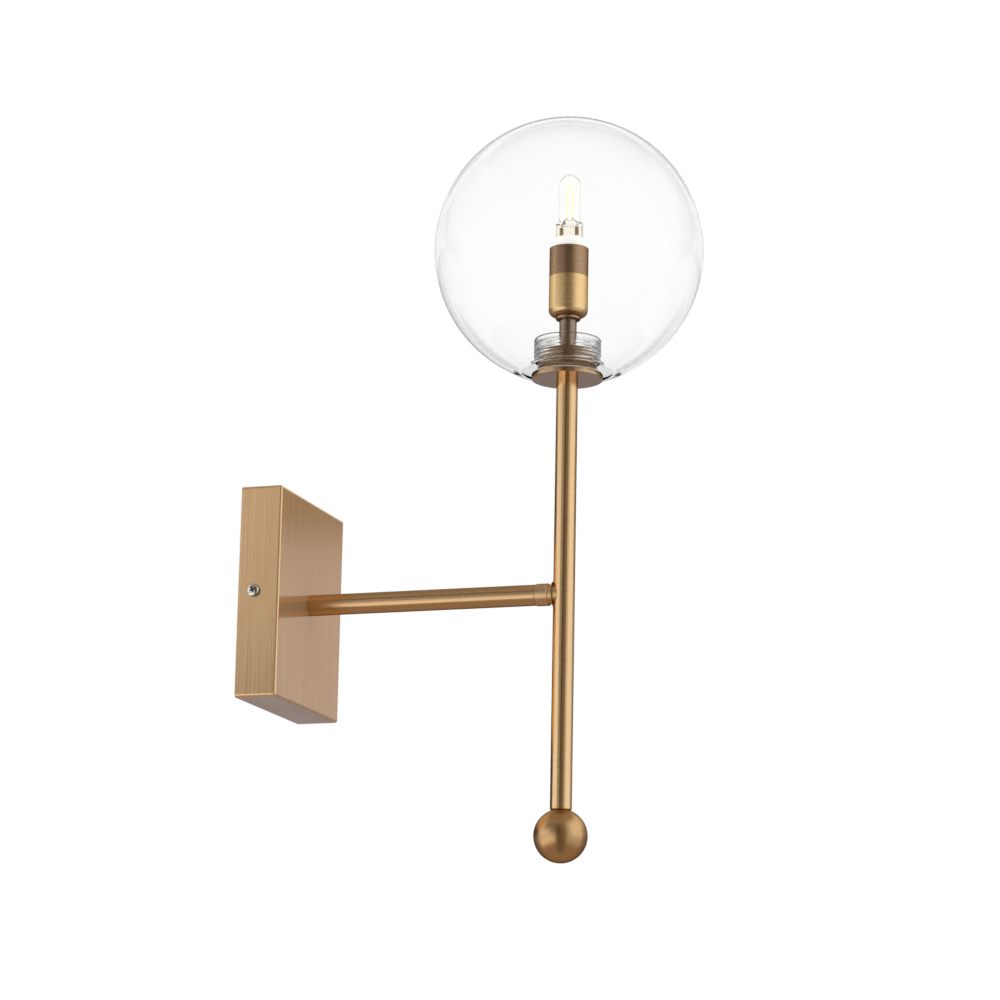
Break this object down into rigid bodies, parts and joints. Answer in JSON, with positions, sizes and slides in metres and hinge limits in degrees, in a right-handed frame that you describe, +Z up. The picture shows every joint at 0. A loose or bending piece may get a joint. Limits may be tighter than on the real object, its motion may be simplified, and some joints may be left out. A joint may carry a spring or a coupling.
{
  "type": "globe wall sconce",
  "caption": "Wall light: a box on the wall carries an arm and an upright stem, with a ball at its foot and a screw-on clear glass globe round a small capsule lamp at its head.",
  "frame": {"origin": "on the wall, midway between the two wall screws and level with the arm", "axes": "+Z up along the stem, +Y into the wall, +X to the right for someone facing the light"},
  "size_m": [0.152, 0.2502, 0.4219],
  "materials": {
    "antique_brass": "satin brushed, lacquered antique brass",
    "yellow_brass": "machined",
    "collar_bronze": "machined thread, toned brown",
    "zinc_steel": "zinc plated",
    "bright_chrome": "bright plated",
    "terminal_plastic": "natural nylon",
    "clear_silicone": "clear silicone",
    "clear_glass": "blown, fire polished",
    "quartz_glass": "fused quartz",
    "white_ceramic": "glazed ceramic",
    "tungsten": "glowing tungsten coil",
    "molybdenum": "foil and wire sealed in the pinch",
    "brown_insulation": "silicone insulated lead",
    "blue_insulation": "silicone insulated lead",
    "earth_insulation": "green and yellow insulated lead"
  },
  "bodies": {
    "root": {"canopy": "antique_brass", "wall_bracket": "zinc_steel", "canopy_screws": "bright_chrome", "earth_screw": "yellow_brass", "earth_terminal": "zinc_steel", "terminal_block": "terminal_plastic", "terminal_barrels": "yellow_brass", "terminal_screws": "zinc_steel", "terminal_fixing": "zinc_steel", "arm_nipple": "zinc_steel", "arm_nut": "zinc_steel", "arm_washer": "zinc_steel", "arm_tube": "antique_brass", "boss_nipple": "zinc_steel", "stem_boss": "antique_brass", "stem_tube": "antique_brass", "stem_plug": "yellow_brass", "finial_stud": "zinc_steel", "ball_finial": "antique_brass", "stem_stud": "yellow_brass", "shade_plate": "antique_brass", "shade_collar": "collar_bronze", "collar_washer": "zinc_steel", "collar_nut": "zinc_steel", "riser_tube": "antique_brass", "socket_ring": "antique_brass", "cup_nipple": "zinc_steel", "cup_nut": "zinc_steel", "socket_cup": "antique_brass", "holder_bracket": "zinc_steel", "holder_screws": "zinc_steel", "lampholder": "white_ceramic", "holder_contacts": "bright_chrome", "lead_live": "brown_insulation", "lead_neutral": "blue_insulation", "earth_lead": "earth_insulation"},
    "gasket": {"shade_gasket": "clear_silicone"},
    "globe": {"globe_glass": "clear_glass"},
    "bulb": {"bulb_glass": "quartz_glass", "bulb_pins": "bright_chrome", "bulb_filament": "tungsten", "bulb_leads": "molybdenum"}
  },
  "joints": [
    {"name": "globe_turn", "type": "hinge", "parent": "root", "child": "gasket", "pos_m": [0, -0.1742, 0.125], "axis": [0, 0, 1], "range_deg": [0, 2340]},
    {"name": "globe_rise", "type": "slide", "parent": "gasket", "child": "globe", "axis": [0, 0, 1], "range_m": [0, 0.013]},
    {"name": "bulb_pull", "type": "slide", "parent": "root", "child": "bulb", "axis": [0, 0, 1], "range_m": [0, 0.012]}
  ],
  "couplings": [
    {"joint": "globe_rise", "follows": "globe_turn", "m_per_rad": 0.0003183}
  ]
}
